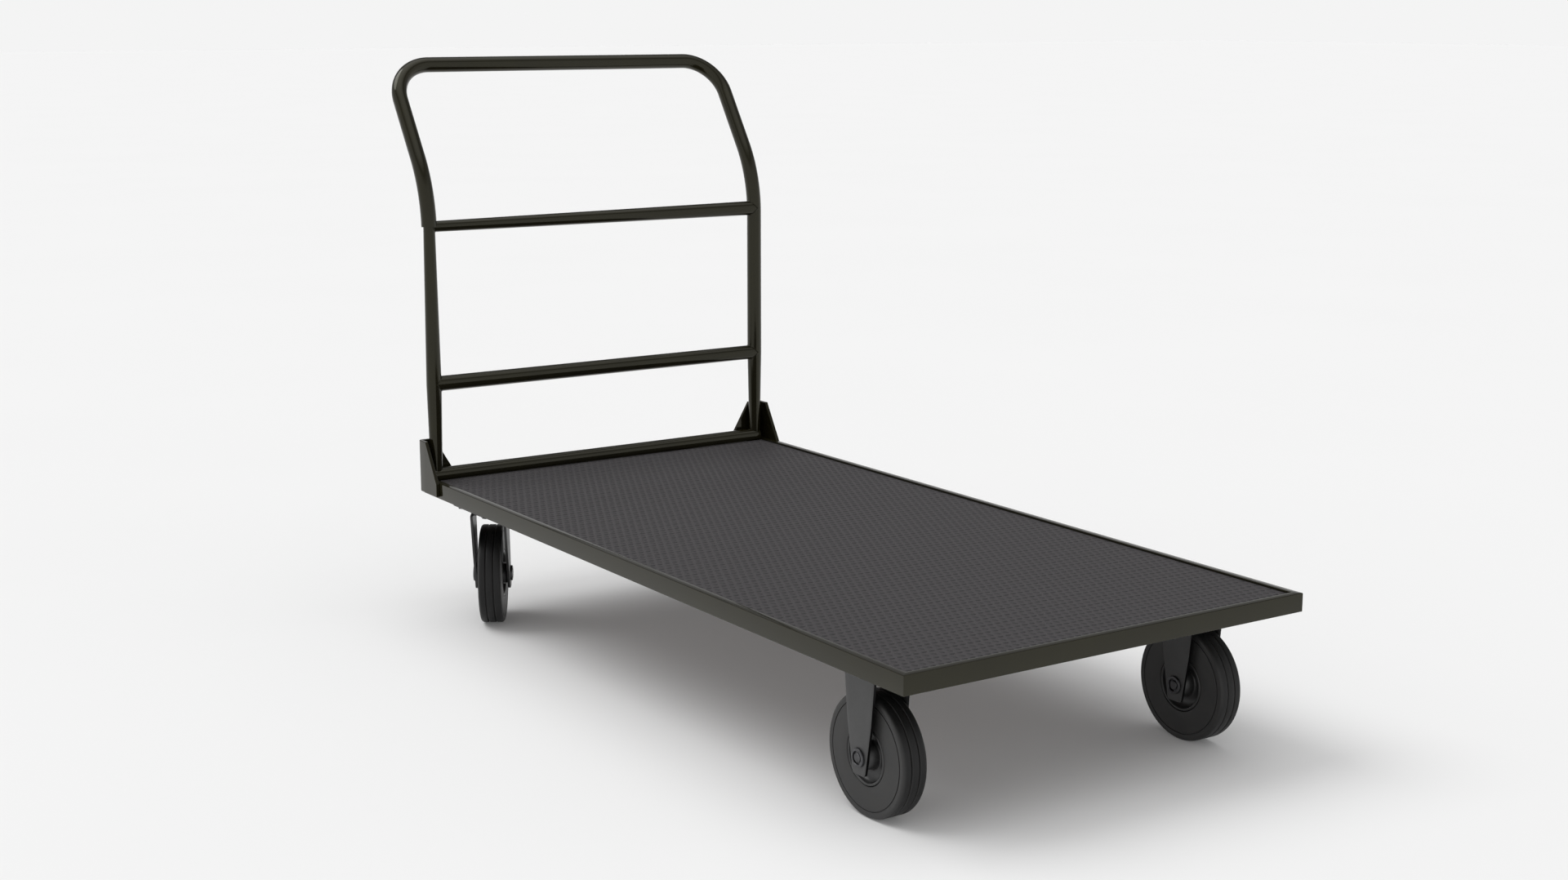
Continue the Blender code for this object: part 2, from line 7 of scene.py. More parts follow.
import bpy
import numpy as np
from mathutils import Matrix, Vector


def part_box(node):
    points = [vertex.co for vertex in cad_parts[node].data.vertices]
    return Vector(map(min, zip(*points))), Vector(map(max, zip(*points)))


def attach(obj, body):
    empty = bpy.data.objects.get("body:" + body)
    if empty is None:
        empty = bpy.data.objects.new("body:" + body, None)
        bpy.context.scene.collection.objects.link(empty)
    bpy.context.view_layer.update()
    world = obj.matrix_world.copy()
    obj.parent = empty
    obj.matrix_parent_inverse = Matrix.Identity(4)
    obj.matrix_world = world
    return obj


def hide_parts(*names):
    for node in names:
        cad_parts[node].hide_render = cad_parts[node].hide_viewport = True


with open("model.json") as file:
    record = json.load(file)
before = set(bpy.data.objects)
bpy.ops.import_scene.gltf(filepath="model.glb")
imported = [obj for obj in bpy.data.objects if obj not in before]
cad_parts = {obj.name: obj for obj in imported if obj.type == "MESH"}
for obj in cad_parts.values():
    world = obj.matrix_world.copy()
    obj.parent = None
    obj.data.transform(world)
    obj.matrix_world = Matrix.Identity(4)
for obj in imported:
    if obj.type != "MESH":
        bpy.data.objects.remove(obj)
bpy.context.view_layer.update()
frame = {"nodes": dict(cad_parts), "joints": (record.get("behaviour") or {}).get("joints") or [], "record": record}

MM = 0.001
TURN = 2 * math.pi
QUARTER = math.pi / 2
UP = (0.0, 0.0, 1.0)
SIDES = {"left": 1.0, "right": -1.0}
WHEELS = ("front_left", "front_right", "rear_left", "rear_right")

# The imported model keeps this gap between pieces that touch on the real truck.
GAP = 0.3 * MM


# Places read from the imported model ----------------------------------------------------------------

joints = {joint["child"]: joint for joint in frame["joints"]}


def box(node_name):
    """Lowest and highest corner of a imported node."""
    low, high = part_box(node_name)
    return np.array(low), np.array(high)


def middle(node_name):
    """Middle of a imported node's box."""
    low, high = box(node_name)
    return (low + high) / 2


def half_size(node_name):
    """Half the width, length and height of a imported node's box."""
    low, high = box(node_name)
    return (high - low) / 2


def wheel_frame(name):
    """Hub centre, axle direction and rolling direction of a wheel at rest."""
    joint = joints["wheel_" + name]
    axle = np.array(joint["axis"], float)
    return np.array(joint["pos_m"], float), axle, np.cross(UP, axle)


def caster_body(name):
    """Body that a wheel's fork belongs to: its own one where it swivels, the chassis where it is fixed."""
    return "caster_" + name if name.startswith("rear") else "chassis"


# Meshes from arrays -------------------------------------------------------------------------------


def add_piece(name, points, faces, surface, body, node=None, smooth=35):
    """A mesh object at the origin, with its place in its vertices, that rides on a body."""
    mesh = bpy.data.meshes.new(name)
    mesh.from_pydata(points.reshape(-1, 3).tolist(), [], [list(face) for face in faces])
    mesh.update()
    mesh.shade_smooth()
    mesh.set_sharp_from_angle(angle=math.radians(smooth))
    mesh.materials.append(surface)
    piece = bpy.data.objects.new(name, mesh)
    bpy.context.scene.collection.objects.link(piece)
    if node:
        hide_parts(node)
    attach(piece, body)
    return piece


def mark_faces(piece, name, rule):
    """Stores a number for each face, worked out from its normal, for a material to read."""
    normals = np.empty(len(piece.data.polygons) * 3)
    piece.data.polygons.foreach_get("normal", normals)
    values = rule(normals.reshape(-1, 3)).astype(float)
    piece.data.attributes.new(name, "FLOAT", "FACE").data.foreach_set("value", values)


def grid_faces(rows, columns, wrap_rows=False, wrap_columns=True):
    """Quads between neighbouring points of a rows by columns grid, wrapped where a direction closes."""
    i = np.arange(rows if wrap_rows else rows - 1)[:, None]
    j = np.arange(columns if wrap_columns else columns - 1)[None, :]
    a = i * columns + j
    b = i * columns + (j + 1) % columns
    c = (i + 1) % rows * columns + (j + 1) % columns
    d = (i + 1) % rows * columns + j
    return np.stack(np.broadcast_arrays(a, b, c, d), -1).reshape(-1, 4).tolist()


def outward(points, faces):
    """The faces, all turned over if together they enclose a negative volume."""
    flat = points.reshape(-1, 3)
    volume = 0.0
    for face in faces:
        corners = flat[list(face)]
        fan = np.cross(corners[1:-1], corners[2:])
        volume += float((fan @ corners[0]).sum())
    return faces if volume > 0 else [list(face)[::-1] for face in faces]


def swept(sections):
    """Skin over a row of closed sections, with flat ends."""
    rows, columns = sections.shape[:2]
    faces = grid_faces(rows, columns)
    faces.append(list(range(columns)))
    faces.append(list(range((rows - 1) * columns, rows * columns)))
    return outward(sections, faces)


def rounded(corners, radius, steps=4):
    """Closed outline with each corner cut off at radius / tan(half its angle) along both sides, but
    short of their middles, and bridged by a quadratic curve. At these sizes the curve can't be told
    from the arc of that radius."""
    corners = np.array(corners, float)
    before = np.roll(corners, 1, 0) - corners
    after = np.roll(corners, -1, 0) - corners
    reach_before = np.linalg.norm(before, axis=1, keepdims=True)
    reach_after = np.linalg.norm(after, axis=1, keepdims=True)
    u, v = before / reach_before, after / reach_after
    half = np.arccos(np.clip((u * v).sum(1, keepdims=True), -1, 1)) / 2
    most = 0.45 * np.minimum(reach_before, reach_after)
    cut = np.minimum(np.broadcast_to(radius / np.tan(half), most.shape), most)
    start, end = corners + u * cut, corners + v * cut
    t = np.linspace(0, 1, steps + 1)[None, :, None]
    curve = (1 - t) ** 2 * start[:, None] + 2 * t * (1 - t) * corners[:, None] + t**2 * end[:, None]
    return curve.reshape(-1, 2)


def arc(centre, radius, first, last, steps):
    """Points of a circle from the first angle to the last, in degrees."""
    angle = np.radians(np.linspace(first, last, steps))
    return [(centre[0] + radius * math.cos(a), centre[1] + radius * math.sin(a)) for a in angle]


def mirrored(side):
    """A section (radius, offset) followed by its mirror image, run backwards."""
    return side + [(r, -t) for r, t in reversed(side)]


def turned(profile, centre, axis, steps=96, closed=True):
    """A section (radius, offset along the axis) turned about a level axis through centre. An open
    section leaves a round hole at each end, which a flat face closes."""
    axis = np.array(axis, float)
    across = np.cross(axis, UP)
    across /= np.linalg.norm(across)
    up = np.cross(across, axis)
    angle = np.arange(steps) / steps * TURN
    spoke = np.cos(angle)[:, None] * across + np.sin(angle)[:, None] * up
    profile = np.array(profile, float)
    points = centre + profile[None, :, :1] * spoke[:, None] + profile[None, :, 1:] * axis
    faces = grid_faces(steps, len(profile), wrap_rows=True, wrap_columns=closed)
    if not closed:
        last = len(profile) - 1
        faces.append([k * len(profile) for k in range(steps)])
        faces.append([k * len(profile) + last for k in reversed(range(steps))])
    return points, outward(points, faces)


def tube_sections(path, radii, across, columns=48):
    """Circles of the given radii square to a path, in the frame that across fixes."""
    path = np.array(path, float)
    run = np.gradient(path, axis=0)
    run /= np.linalg.norm(run, axis=1, keepdims=True)
    side = np.cross(np.broadcast_to(np.array(across, float), run.shape), run)
    side /= np.linalg.norm(side, axis=1, keepdims=True)
    rise = np.cross(run, side)
    angle = np.arange(columns) / columns * TURN
    ring = np.cos(angle)[None, :, None] * side[:, None] + np.sin(angle)[None, :, None] * rise[:, None]
    return path[:, None] + np.array(radii, float)[:, None, None] * ring


# Materials ----------------------------------------------------------------------------------------

SLOTS = {}

# A colour Mix shares its sockets' names with the other kinds of Mix, so its own go by number.
MIX_FACTOR, MIX_FIRST, MIX_SECOND, MIX_RESULT = 0, 6, 7, 2


def linear(code):
    """sRGB hex to linear colour."""
    channels = [int(code[i : i + 2], 16) / 255 for i in (1, 3, 5)]
    return tuple(c / 12.92 if c <= 0.04045 else ((c + 0.055) / 1.055) ** 2.4 for c in channels) + (1.0,)


def greys(*stops):
    """Colour stops from (position, linear level) pairs."""
    return [(position, (level, level, level, 1)) for position, level in stops]


def wire(tree, made, inputs):
    """Sets each socket, by name or number, to a value, or links another node's output to it."""
    for key, value in inputs.items():
        if isinstance(value, bpy.types.NodeSocket):
            tree.links.new(value, made.inputs[key])
        else:
            made.inputs[key].default_value = value


def node(tree, kind, inputs=None, stops=None, **settings):
    """Adds a node with its inputs, its own settings and, on a colour ramp, its (position, colour) stops."""
    made = tree.nodes.new(kind)
    for key, value in settings.items():
        setattr(made, key, value)
    wire(tree, made, inputs or {})
    if stops:
        elements = made.color_ramp.elements
        elements.remove(elements[1])
        elements[0].position, elements[0].color = stops[0]
        for position, colour in stops[1:]:
            elements.new(position).color = colour
    return made


def new_material(name, slot):
    """A material with its node tree, its shader and the object coordinates, in metres."""
    made = bpy.data.materials.new(name)
    made.use_nodes = True
    SLOTS[made.name] = slot
    place = node(made.node_tree, "ShaderNodeTexCoord").outputs["Object"]
    return made, made.node_tree, made.node_tree.nodes["Principled BSDF"], place


def stove_enamel():
    """Baked enamel on drawn tube and folded steel: near-black olive and glossy, so tubes and edges
    carry long clear highlights. A 2.2 mm orange peel ruffles them a little, the gloss changes over
    9 mm and the tone drifts over 60 mm."""
    made, tree, shader, place = new_material("stove_enamel", "frame_paint")
    drift = {"Vector": place, "Scale": 1 / (60 * MM), "Detail": 3.0}
    drift = node(tree, "ShaderNodeTexNoise", drift).outputs["Fac"]
    olive = [(0.35, linear("#15130a")), (0.7, linear("#19170b"))]
    shade = node(tree, "ShaderNodeValToRGB", {"Fac": drift}, olive).outputs["Color"]
    flow = {"Vector": place, "Scale": 1 / (9 * MM), "Detail": 3.0}
    flow = node(tree, "ShaderNodeTexNoise", flow).outputs["Fac"]
    gloss = {"Value": flow, "To Min": 0.07, "To Max": 0.15}
    gloss = node(tree, "ShaderNodeMapRange", gloss).outputs["Result"]
    peel = {"Vector": place, "Scale": 1 / (2.2 * MM), "Detail": 1.0}
    peel = node(tree, "ShaderNodeTexNoise", peel).outputs["Fac"]
    relief = {"Height": peel, "Strength": 0.04, "Distance": 0.03 * MM}
    relief = node(tree, "ShaderNodeBump", relief).outputs["Normal"]
    wire(tree, shader, {"Base Color": shade, "Roughness": gloss, "Normal": relief})
    wire(tree, shader, {"IOR": 1.41, "Specular Tint": (1.0, 0.98, 0.80, 1.0)})
    return made


def mat_rubber():
    """Pressed sheet rubber: matt charcoal with a violet cast, paler low down between the lugs and darker on
    their tops. The pressed grain is drawn 1.4 mm wide, because the real one is too fine to show."""
    made, tree, shader, place = new_material("pressed_sheet_rubber", "mat_rubber")
    height = node(tree, "ShaderNodeSeparateXYZ", {"Vector": place}).outputs["Z"]
    # Colour by height: paler on the sheet between the lugs, darker up on the lug tops.
    lift = {"Value": height, "From Min": MAT_BASE, "From Max": MAT_TOP}
    lift = node(tree, "ShaderNodeMapRange", lift).outputs["Result"]
    charcoal = [(0.2, linear("#373436")), (0.8, linear("#262426"))]
    shade = node(tree, "ShaderNodeValToRGB", {"Fac": lift}, charcoal).outputs["Color"]
    grain = {"Vector": place, "Scale": 1 / (1.4 * MM), "Detail": 3.0}
    grain = node(tree, "ShaderNodeTexNoise", grain).outputs["Fac"]
    speckle = greys((0.3, 0.7), (0.7, 1.0))
    speckle = node(tree, "ShaderNodeValToRGB", {"Fac": grain}, speckle).outputs["Color"]
    mixed = {MIX_FACTOR: 0.25, MIX_FIRST: shade, MIX_SECOND: speckle}
    mixed = node(tree, "ShaderNodeMix", mixed, data_type="RGBA", blend_type="MULTIPLY")
    relief = {"Height": grain, "Strength": 0.15, "Distance": 0.12 * MM}
    relief = node(tree, "ShaderNodeBump", relief).outputs["Normal"]
    wire(tree, shader, {"Base Color": mixed.outputs[MIX_RESULT], "Normal": relief})
    wire(tree, shader, {"IOR": 1.5, "Roughness": 0.62})
    return made


def tyre_rubber():
    """Moulded solid rubber: dark grey and matt, with 25 mm clouds of grime, and painted shade on the tread,
    which makes it darker and duller. The mould's grain is drawn 1.1 mm wide, because the real one is too fine to
    show."""
    made, tree, shader, place = new_material("moulded_tyre_rubber", "tyre_rubber")
    grime = {"Vector": place, "Scale": 1 / (25 * MM), "Detail": 5.0}
    grime = node(tree, "ShaderNodeTexNoise", grime).outputs["Fac"]
    sidewall = [(0.3, linear("#242424")), (0.75, linear("#2c2b2a"))]
    shade = node(tree, "ShaderNodeValToRGB", {"Fac": grime}, sidewall).outputs["Color"]
    # Painted shade: the tread's faces, marked in an attribute, get a darker rubber and less shine.
    tread_shade = node(tree, "ShaderNodeAttribute", attribute_name="tread_shade").outputs["Fac"]
    mixed = {MIX_FACTOR: tread_shade, MIX_FIRST: shade, MIX_SECOND: linear("#161616")}
    mixed = node(tree, "ShaderNodeMix", mixed, data_type="RGBA")
    dull = node(tree, "ShaderNodeMath", {0: tread_shade, 1: -0.2, 2: 0.5}, operation="MULTIPLY_ADD")
    rough = {"Value": grime, "To Min": 0.42, "To Max": 0.58}
    rough = node(tree, "ShaderNodeMapRange", rough).outputs["Result"]
    grain = {"Vector": place, "Scale": 1 / (1.1 * MM), "Detail": 3.0}
    grain = node(tree, "ShaderNodeTexNoise", grain).outputs["Fac"]
    relief = {"Height": grain, "Strength": 0.12, "Distance": 0.08 * MM}
    relief = node(tree, "ShaderNodeBump", relief).outputs["Normal"]
    wire(tree, shader, {"Base Color": mixed.outputs[MIX_RESULT], "Roughness": rough, "Normal": relief})
    wire(tree, shader, {"IOR": 1.5, "Specular IOR Level": dull.outputs[0]})
    return made


def rim_plastic():
    """Injection-moulded nylon wheel centre: dark grey with a satin skin, clouded over 12 mm and
    patchily polished over 4 mm, so its highlights stay soft."""
    made, tree, shader, place = new_material("moulded_nylon", "rim_plastic")
    cloud = {"Vector": place, "Scale": 1 / (12 * MM), "Detail": 3.0}
    cloud = node(tree, "ShaderNodeTexNoise", cloud).outputs["Fac"]
    dark = [(0.3, linear("#262626")), (0.7, linear("#2d2d2d"))]
    shade = node(tree, "ShaderNodeValToRGB", {"Fac": cloud}, dark).outputs["Color"]
    polish = {"Vector": place, "Scale": 1 / (4 * MM), "Detail": 3.0}
    polish = node(tree, "ShaderNodeTexNoise", polish).outputs["Fac"]
    rough = {"Value": polish, "To Min": 0.32, "To Max": 0.46}
    rough = node(tree, "ShaderNodeMapRange", rough).outputs["Result"]
    wire(tree, shader, {"IOR": 1.53, "Base Color": shade, "Roughness": rough})
    return made


def fork_coat():
    """Powder coat on pressed steel: dark grey and satin, so the flat legs read as one even tone, with painted
    shade that makes the strip's edges nearly black and less shiny. Its 1.2 mm leathery texture breaks up the
    highlights."""
    made, tree, shader, place = new_material("fork_powder_coat", "fork_paint")
    drift = {"Vector": place, "Scale": 1 / (30 * MM), "Detail": 3.0}
    drift = node(tree, "ShaderNodeTexNoise", drift).outputs["Fac"]
    coat = [(0.3, linear("#343434")), (0.7, linear("#3a3a3a"))]
    shade = node(tree, "ShaderNodeValToRGB", {"Fac": drift}, coat).outputs["Color"]
    # Painted shade: the strip's edges, marked in an attribute, are painted nearly black and lose some shine.
    edge_shade = node(tree, "ShaderNodeAttribute", attribute_name="edge_shade").outputs["Fac"]
    mixed = {MIX_FACTOR: edge_shade, MIX_FIRST: shade, MIX_SECOND: linear("#0c0c0c")}
    mixed = node(tree, "ShaderNodeMix", mixed, data_type="RGBA")
    dull = node(tree, "ShaderNodeMath", {0: edge_shade, 1: -0.4, 2: 0.5}, operation="MULTIPLY_ADD")
    flow = {"Vector": place, "Scale": 1 / (5 * MM), "Detail": 3.0}
    flow = node(tree, "ShaderNodeTexNoise", flow).outputs["Fac"]
    rough = {"Value": flow, "To Min": 0.36, "To Max": 0.48}
    rough = node(tree, "ShaderNodeMapRange", rough).outputs["Result"]
    leather = {"Vector": place, "Scale": 1 / (1.2 * MM), "Detail": 1.0}
    leather = node(tree, "ShaderNodeTexNoise", leather).outputs["Fac"]
    relief = {"Height": leather, "Strength": 0.1, "Distance": 0.06 * MM}
    relief = node(tree, "ShaderNodeBump", relief).outputs["Normal"]
    wire(tree, shader, {"Base Color": mixed.outputs[MIX_RESULT], "Roughness": rough, "Normal": relief})
    wire(tree, shader, {"IOR": 1.5, "Specular IOR Level": dull.outputs[0]})
    return made


def dark_zinc():
    """Black-passivated zinc on turned steel: a dark metal, clouded over 8 mm by the bath, with 1.5 mm
    patches of more and less shine."""
    made, tree, shader, place = new_material("black_passivated_zinc", "dark_zinc")
    cloud = {"Vector": place, "Scale": 1 / (8 * MM), "Detail": 3.0}
    cloud = node(tree, "ShaderNodeTexNoise", cloud).outputs["Fac"]
    smoke = [(0.3, linear("#4a4a4b")), (0.7, linear("#5c5c5e"))]
    shade = node(tree, "ShaderNodeValToRGB", {"Fac": cloud}, smoke).outputs["Color"]
    shine = {"Vector": place, "Scale": 1 / (1.5 * MM), "Detail": 3.0}
    shine = node(tree, "ShaderNodeTexNoise", shine).outputs["Fac"]
    rough = {"Value": shine, "To Min": 0.3, "To Max": 0.45}
    rough = node(tree, "ShaderNodeMapRange", rough).outputs["Result"]
    wire(tree, shader, {"Metallic": 1.0, "Base Color": shade, "Roughness": rough})
    return made


def birch_board():
    """Film-faced plywood under the mat: brown and half glossy, with the wood's grain, 3 mm wide and a
    dozen times as long, along the deck."""
    made, tree, shader, place = new_material("filmed_birch_plywood", "deck_board")
    stretch = {"Vector": place, "Scale": (1.0, 0.08, 1.0)}
    stretch = node(tree, "ShaderNodeMapping", stretch).outputs["Vector"]
    grain = {"Vector": stretch, "Scale": 1 / (3 * MM), "Detail": 6.0}
    grain = node(tree, "ShaderNodeTexNoise", grain).outputs["Fac"]
    brown = [(0.3, linear("#3c2a20")), (0.7, linear("#54392a"))]
    shade = node(tree, "ShaderNodeValToRGB", {"Fac": grain}, brown).outputs["Color"]
    rough = {"Value": grain, "To Min": 0.35, "To Max": 0.5}
    rough = node(tree, "ShaderNodeMapRange", rough).outputs["Result"]
    wire(tree, shader, {"IOR": 1.5, "Base Color": shade, "Roughness": rough})
    return made


def seamless_paper():
    """Matt white backdrop paper: an even pale tone that drifts over 900 mm and shows no reflection.
    A little light of its own stands for the light that a white studio sends back under the deck."""
    made, tree, shader, place = new_material("seamless_paper", "floor")
    drift = {"Vector": place, "Scale": 1 / (900 * MM), "Detail": 3.0}
    drift = node(tree, "ShaderNodeTexNoise", drift).outputs["Fac"]
    white = [(0.0, linear("#e6e6e6")), (1.0, linear("#e8e8e8"))]
    shade = node(tree, "ShaderNodeValToRGB", {"Fac": drift}, white).outputs["Color"]
    wire(tree, shader, {"Base Color": shade, "Roughness": 0.9, "Specular IOR Level": 0.0})
    wire(tree, shader, {"Emission Color": (1, 1, 1, 1), "Emission Strength": 0.055})
    return made


# Deck ---------------------------------------------------------------------------------------------

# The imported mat's flat top lies halfway up the lugs.
MAT_TOP = box("deck_mat")[1][2]
LUG_HEIGHT = 1.0 * MM
MAT_BASE = MAT_TOP - LUG_HEIGHT / 2
MAT_EDGE = 5 * MM  # plain margin round the lugs
LUG_PITCH_X = 13.4 * MM
LUG_PITCH_Y = 27.75 * MM
LUG_LENGTH = 11.6 * MM
LUG_WIDTH = 6.4 * MM
LUG_SLANTS = (math.radians(122), math.radians(170))
LUG_POINTS = 8
# Share of the lug's size and of its height, from a ring sunk in the sheet to the top.
LUG_RINGS = ((1.0, -0.1), (0.82, 0.62), (0.5, 1.0))

# Edge radii of the channel: at its folds, at the top of its outer face and at the lip's cut edge.
RAIL_FOLD = 0.8 * MM
RAIL_NOSE = 1.6 * MM
RAIL_CUT = 0.3 * MM

BRACKET_PLATE = 6.0 * MM
BRACKET_FOLD = 7.0 * MM  # outer radius
BRACKET_LEVEL = 29.8 * MM  # how far from the fold the top edge stays level
BRACKET_END = 23.5 * MM  # height left at the ends of the legs


def rail_outline():
    """Rounded channel section of the rim, as (distance in from the outer face, height)."""
    low, high = box("side_rail_left")
    flange = high[0] - low[0]
    lip = high[0] - box("deck_mat")[1][0] - GAP
    wall = high[2] - MAT_TOP
    base, top = low[2], high[2]
    corners = [
        (0, base),
        (0, top),
        (lip, top),
        (lip, top - wall),
        (wall, top - wall),
        (wall, base + wall),
        (flange, base + wall),
        (flange, base),
    ]
    radii = np.array([RAIL_FOLD, RAIL_NOSE] + 2 * [RAIL_CUT] + 4 * [RAIL_FOLD])
    return rounded(corners, radii[:, None], 3)


def side_rail(name, side, paint):
    """Channel section carried along the side, its front end cut on the mitre: there each point goes
    as far back as it lies in from the outer face."""
    low, high = box(name)
    d, z = rail_outline().T
    x = side * (max(abs(low[0]), abs(high[0])) - d)
    front = np.stack([x, high[1] + GAP - d, z], -1)
    rear = np.stack([x, np.full_like(d, low[1]), z], -1)
    sections = np.stack([rear, front])
    add_piece(name + "_rolled", sections, swept(sections), paint, "chassis", name, 30)


def front_rail(paint):
    """Channel section carried across the front, both ends cut on the mitre in the same way."""
    name = "end_rail_front"
    high = box(name)[1]
    d, z = rail_outline().T
    y = high[1] - d
    half = box("side_rail_left")[1][0]
    sections = np.stack([np.stack([sign * (half - d), y, z], -1) for sign in (-1, 1)])
    add_piece(name + "_rolled", sections, swept(sections), paint, "chassis", name, 30)


def lug_centres():
    """Centres and turns of the lugs: two interleaved lattices, which fill the mat up to its margin."""
    low, high = box("deck_mat")
    across = np.arange(math.ceil((high[0] - low[0]) / LUG_PITCH_X) + 1)
    along = np.arange(math.ceil((high[1] - low[1]) / LUG_PITCH_Y) + 1)
    lattice = np.meshgrid(low[0] + across * LUG_PITCH_X, low[1] + along * LUG_PITCH_Y)
    lattice = np.stack([axis.ravel() for axis in lattice], -1)
    centres, turns = [], []
    for shift, slant in zip((0.0, 0.5), LUG_SLANTS):
        centre = lattice + shift * np.array([LUG_PITCH_X, LUG_PITCH_Y])
        inside = (centre > low[:2] + MAT_EDGE) & (centre < high[:2] - MAT_EDGE)
        centre = centre[inside.all(1)]
        centres.append(centre)
        turns.append(np.full(len(centre), slant))
    return np.concatenate(centres), np.concatenate(turns)


def lugged_mat(rubber):
    """Flat sheet with a dome at each lug: three rings of eight points, each a lens outline
    (length cos a, width sin a) that shrinks as it rises, closed by the top ring."""
    low, high = box("deck_mat")
    centres, turns = lug_centres()
    a = np.arange(LUG_POINTS) / LUG_POINTS * TURN
    rings = []
    for share, rise in LUG_RINGS:
        shape_x = LUG_LENGTH / 2 * share * np.cos(a)
        shape_y = LUG_WIDTH / 2 * share * np.sin(a)
        rings.append(np.stack([shape_x, shape_y, np.full(LUG_POINTS, rise * LUG_HEIGHT)], -1))
    lug = np.concatenate(rings)
    cos, sin = np.cos(turns)[:, None], np.sin(turns)[:, None]
    x = centres[:, :1] + cos * lug[:, 0] - sin * lug[:, 1]
    y = centres[:, 1:] + sin * lug[:, 0] + cos * lug[:, 1]
    z = np.broadcast_to(MAT_BASE + lug[:, 2], x.shape)
    lugs = np.stack([x, y, z], -1).reshape(-1, 3)
    lug_faces = grid_faces(len(LUG_RINGS), LUG_POINTS)
    lug_faces += [list(range(len(lug) - LUG_POINTS, len(lug))), list(range(LUG_POINTS))[::-1]]
    faces = [[i + first for i in face] for first in range(0, len(lugs), len(lug)) for face in lug_faces]
    corners = [(low[0], low[1]), (high[0], low[1]), (high[0], high[1]), (low[0], high[1])]
    sheet = [(x, y, z) for z in (low[2], MAT_BASE) for x, y in corners]
    sheet_faces = [[3, 2, 1, 0], [4, 5, 6, 7], [0, 1, 5, 4], [1, 2, 6, 5], [2, 3, 7, 6], [3, 0, 4, 7]]
    faces += [[i + len(lugs) for i in face] for face in sheet_faces]
    points = np.concatenate([lugs, np.array(sheet)])
    add_piece("deck_mat_lugged", points, faces, rubber, "chassis", "deck_mat", 30)


def fold_line(leg, depth):
    """Plan of the bracket's plate at a depth under its outer face: in along one leg, round the fold
    on a quarter circle and out along the other leg."""
    far = np.linspace(leg, BRACKET_LEVEL, 8)
    flat = np.full(8, depth)
    a = np.linspace(0, QUARTER, 9)
    fold = BRACKET_FOLD - (BRACKET_FOLD - depth) * np.stack([np.sin(a), np.cos(a)], -1)
    return np.concatenate([np.stack([far, flat], -1), fold, np.stack([flat, far[::-1]], -1)])


def bracket(name, side, paint):
    """Plate bent round the deck's corner: its section runs along both legs and round the fold, and
    past the level part its top edge falls evenly with the distance from the fold."""
    low, high = box(name)
    leg = high[0] - low[0]
    fall = (high[2] - low[2] - BRACKET_END) / (leg - BRACKET_LEVEL)
    corner_x = side * max(abs(low[0]), abs(high[0]))
    outer, inner = fold_line(leg, 0.0), fold_line(leg, BRACKET_PLATE)
    top = np.minimum(high[2], low[2] + BRACKET_END + (leg - outer.max(1)) * fall)
    bottom = np.full(len(top), low[2])
    edges = []
    for line, z in ((outer, bottom), (outer, top), (inner, top), (inner, bottom)):
        edges.append(np.stack([corner_x - side * line[:, 0], low[1] + line[:, 1], z], -1))
    loop = np.stack(edges, 1)
    piece = add_piece(name + "_folded", loop, swept(loop), paint, "chassis", name, 30)
    edge = piece.modifiers.new("edge", "BEVEL")
    edge.width = 0.7 * MM
    edge.segments = 2
    edge.limit_method = "ANGLE"
    edge.angle_limit = math.radians(40)


# Push handle --------------------------------------------------------------------------------------

TUBE_R = half_size("rail_foot")[2]
TUBE_WALL = 2 * MM
POST_X, POST_Y = middle("handle_post_left")[:2]
FOOT_Z = middle("rail_foot")[2]
MIDDLE_Z = middle("rail_middle")[2]
UPPER_Z = middle("rail_upper")[2]
GRIP_Z = box("handle_bow")[1][2] - TUBE_R
GRIP_Y = box("handle_bow")[0][1] + TUBE_R
BEND_START_Z = UPPER_Z - 8.4 * MM  # where the uprights start to bend back
BEND_RADIUS = 237 * MM
CORNER_RADIUS = 75.2 * MM
LEAN = math.radians(33.6)  # of the bow's top behind the upright
SLIM_FOOT = 10.75 * MM  # radii of the drawn-down ends
SLIM_POST = 10.6 * MM
SLIM_RAIL = 10.0 * MM
SEAT_GAP = 0.1 * MM  # between a cross rail's end and the upright
WELD_BEAD = 1.2 * MM


def bow_side(low_z, steps=28):
    """Centre line of a side from low_z up the bend: a circle of BEND_RADIUS behind the upright."""
    first = math.asin(max(0.0, low_z - BEND_START_Z) / BEND_RADIUS)
    angle = np.linspace(first, LEAN, steps)
    y = POST_Y - BEND_RADIUS * (1 - np.cos(angle))
    z = BEND_START_Z + BEND_RADIUS * np.sin(angle)
    return np.stack([np.zeros(steps), y, z], -1)


def bow_line():
    """Centre line from the right foot up, round both upper corners and down to the left end."""
    incline = np.array([0.0, -math.sin(LEAN), math.cos(LEAN)])
    grip = np.array([CORNER_RADIUS - POST_X, GRIP_Y, GRIP_Z])
    a = np.linspace(0, QUARTER, 28)[:, None]
    corner = grip - incline * CORNER_RADIUS
    corner = corner + CORNER_RADIUS * (incline * np.sin(a) - np.array([1.0, 0, 0]) * np.cos(a))
    aside = np.array([POST_X, 0, 0])
    heights = np.linspace(FOOT_Z, MIDDLE_Z, 6)
    foot = np.stack([np.zeros(6), np.full(6, POST_Y), heights], -1)
    right = np.concatenate([foot - aside, bow_side(BEND_START_Z) - aside, corner])
    left = np.concatenate([(corner * (-1, 1, 1))[::-1], (bow_side(UPPER_Z) + aside)[::-1]])
    return np.concatenate([right, left])


def upright_radius(z, top_radius=TUBE_R):
    """Full radius at the middle rail, changing evenly to the slim foot and to the radius at the top."""
    down = np.clip((MIDDLE_Z - z) / (MIDDLE_Z - FOOT_Z), 0, 1)
    up = np.clip((z - MIDDLE_Z) / (UPPER_Z - MIDDLE_Z), 0, 1)
    return TUBE_R + (SLIM_FOOT - TUBE_R) * down + (top_radius - TUBE_R) * up


